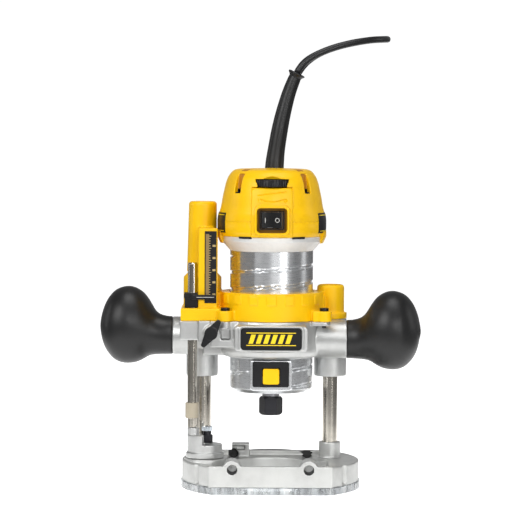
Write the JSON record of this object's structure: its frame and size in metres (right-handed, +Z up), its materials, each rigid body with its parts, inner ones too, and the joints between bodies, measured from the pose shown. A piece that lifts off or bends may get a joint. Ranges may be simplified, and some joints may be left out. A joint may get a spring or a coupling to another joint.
{
  "type": "trim router",
  "caption": "Compact plunge trim router: round motor unit in a cast carriage that slides on two columns over a double-D base, with side grips, depth stop and turret.",
  "frame": {"origin": "on the spindle axis, at the centre of the bit opening in the sub-base's resting face", "axes": "+Z up along the spindle axis away from the work, -Y towards the switch and nameplate side, +X towards the right grip"},
  "size_m": [0.2668, 0.2169, 0.3767],
  "materials": {
    "clear_plate": "clear cast acrylic with polished faces and machined edges",
    "screw_steel": "blackened steel",
    "cast_alloy": "die cast, fine satin grain",
    "column_steel": "ground and polished",
    "spring_steel": "oiled spring wire",
    "bearing_steel": "ground",
    "zinc_plated": "bright zinc plate",
    "black_steel": "black oxide",
    "bush_bronze": "sintered bronze and brass",
    "grip_rubber": "soft moulded rubber, fine matt texture",
    "black_plastic": "moulded glass-filled nylon, satin",
    "yellow_plastic": "moulded, semi-gloss with fine spark texture",
    "ferrule_resin": "moulded acetal",
    "turned_alloy": "turned, fine circular lay",
    "core_steel": "laminated steel",
    "copper": "copper",
    "carbon": "carbon",
    "collet_steel": "hardened, ground",
    "circuit_board": "coated board",
    "cord_rubber": "rubber-sheathed flex"
  },
  "bodies": {
    "base": {"sub_base": "clear_plate", "sub_base_screws": "screw_steel", "base_casting": "cast_alloy", "left_column": "column_steel", "right_column": "column_steel", "column_set_screws": "screw_steel", "column_stop_rings": "screw_steel", "plunge_spring": "spring_steel", "detent_ball": "bearing_steel", "turret_screw": "screw_steel", "cord_lead": "cord_rubber", "cord_coil": "cord_rubber", "supply_plug": "cord_rubber"},
    "turret": {"turret": "cast_alloy", "turret_stop_bolt": "zinc_plated", "turret_jam_nut": "black_steel"},
    "carriage": {"carriage_casting": "cast_alloy", "column_bushings": "bush_bronze", "handle_studs": "zinc_plated", "left_handle": "grip_rubber", "right_handle": "grip_rubber", "nameplate": "black_plastic", "carriage_cover": "yellow_plastic", "cover_screws": "black_steel", "scale_plate": "black_plastic", "clamp_bolt": "screw_steel", "motor_housing": "turned_alloy", "motor_collar": "cast_alloy", "lock_panel": "black_plastic", "lock_spring": "spring_steel", "lower_bearing": "bearing_steel", "upper_bearing": "bearing_steel", "bearing_carriers": "turned_alloy", "stator": "core_steel", "field_coils": "copper", "brush_holders": "bush_bronze", "brushes": "carbon", "motor_cap_lower": "yellow_plastic", "motor_cap_upper": "yellow_plastic", "front_panel": "yellow_plastic", "switch_body": "black_plastic", "speed_module": "circuit_board", "strain_relief": "grip_rubber"},
    "depth_rod": {"depth_rod": "column_steel", "depth_rod_ferrule": "ferrule_resin"},
    "depth_pointer": {"depth_pointer": "black_plastic"},
    "depth_knob": {"depth_lock_knob": "black_plastic"},
    "plunge_lever": {"plunge_lock_lever": "black_plastic", "plunge_lock_screw": "screw_steel"},
    "clamp_lever": {"clamp_lever": "black_plastic", "clamp_pin": "column_steel"},
    "rotor": {"spindle": "core_steel", "armature": "core_steel", "commutator": "copper", "fan": "black_plastic", "collet": "collet_steel", "collet_nut": "black_steel"},
    "lock_button": {"lock_button": "yellow_plastic"},
    "switch_rocker": {"switch_rocker": "black_plastic"},
    "speed_dial": {"speed_dial": "black_plastic"}
  },
  "joints": [
    {"name": "plunge", "type": "slide", "parent": "base", "child": "carriage", "axis": [0, 0, -1], "range_m": [0, 0.055], "stiffness_N_per_m": 700, "springref_m": -0.075, "deforming": ["plunge_spring"]},
    {"name": "turret_turn", "type": "hinge", "parent": "base", "child": "turret", "pos_m": [-0.0543, -0.018, 0.026], "axis": [0, 0, 1], "continuous": true},
    {"name": "depth_slide", "type": "slide", "parent": "carriage", "child": "depth_rod", "axis": [0, 0, 1], "range_m": [0, 0.055]},
    {"name": "pointer_slide", "type": "slide", "parent": "depth_rod", "child": "depth_pointer", "axis": [0, 0, 1], "range_m": [0, 0.024]},
    {"name": "depth_knob_turn", "type": "hinge", "parent": "carriage", "child": "depth_knob", "pos_m": [-0.0493, -0.037, 0.1301], "axis": [0, 1, 0], "range_deg": [-90, 180]},
    {"name": "plunge_lever_turn", "type": "hinge", "parent": "carriage", "child": "plunge_lever", "pos_m": [-0.0576, 0.042, 0.115], "axis": [0, 1, 0], "range_deg": [0, 40]},
    {"name": "clamp_lever_turn", "type": "hinge", "parent": "carriage", "child": "clamp_lever", "pos_m": [0.023, 0.05, 0.124], "axis": [0, 0, 1], "range_deg": [0, 100]},
    {"name": "spindle_turn", "type": "hinge", "parent": "carriage", "child": "rotor", "pos_m": [0, 0, 0.1], "axis": [0, 0, 1], "continuous": true},
    {"name": "lock_button_press", "type": "slide", "parent": "carriage", "child": "lock_button", "axis": [0, 1, 0], "range_m": [0, 0.004], "stiffness_N_per_m": 400, "springref_m": -0.004},
    {"name": "switch_rock", "type": "hinge", "parent": "carriage", "child": "switch_rocker", "pos_m": [0, -0.035, 0.223], "axis": [0, 0, 1], "range_deg": [0, 12]},
    {"name": "speed_dial_turn", "type": "hinge", "parent": "carriage", "child": "speed_dial", "pos_m": [0, -0.0286, 0.253], "axis": [0, 0, 1], "range_deg": [-140, 140]}
  ],
  "couplings": [
    {"joint": "depth_slide", "follows": "plunge", "ratio": 1}
  ]
}
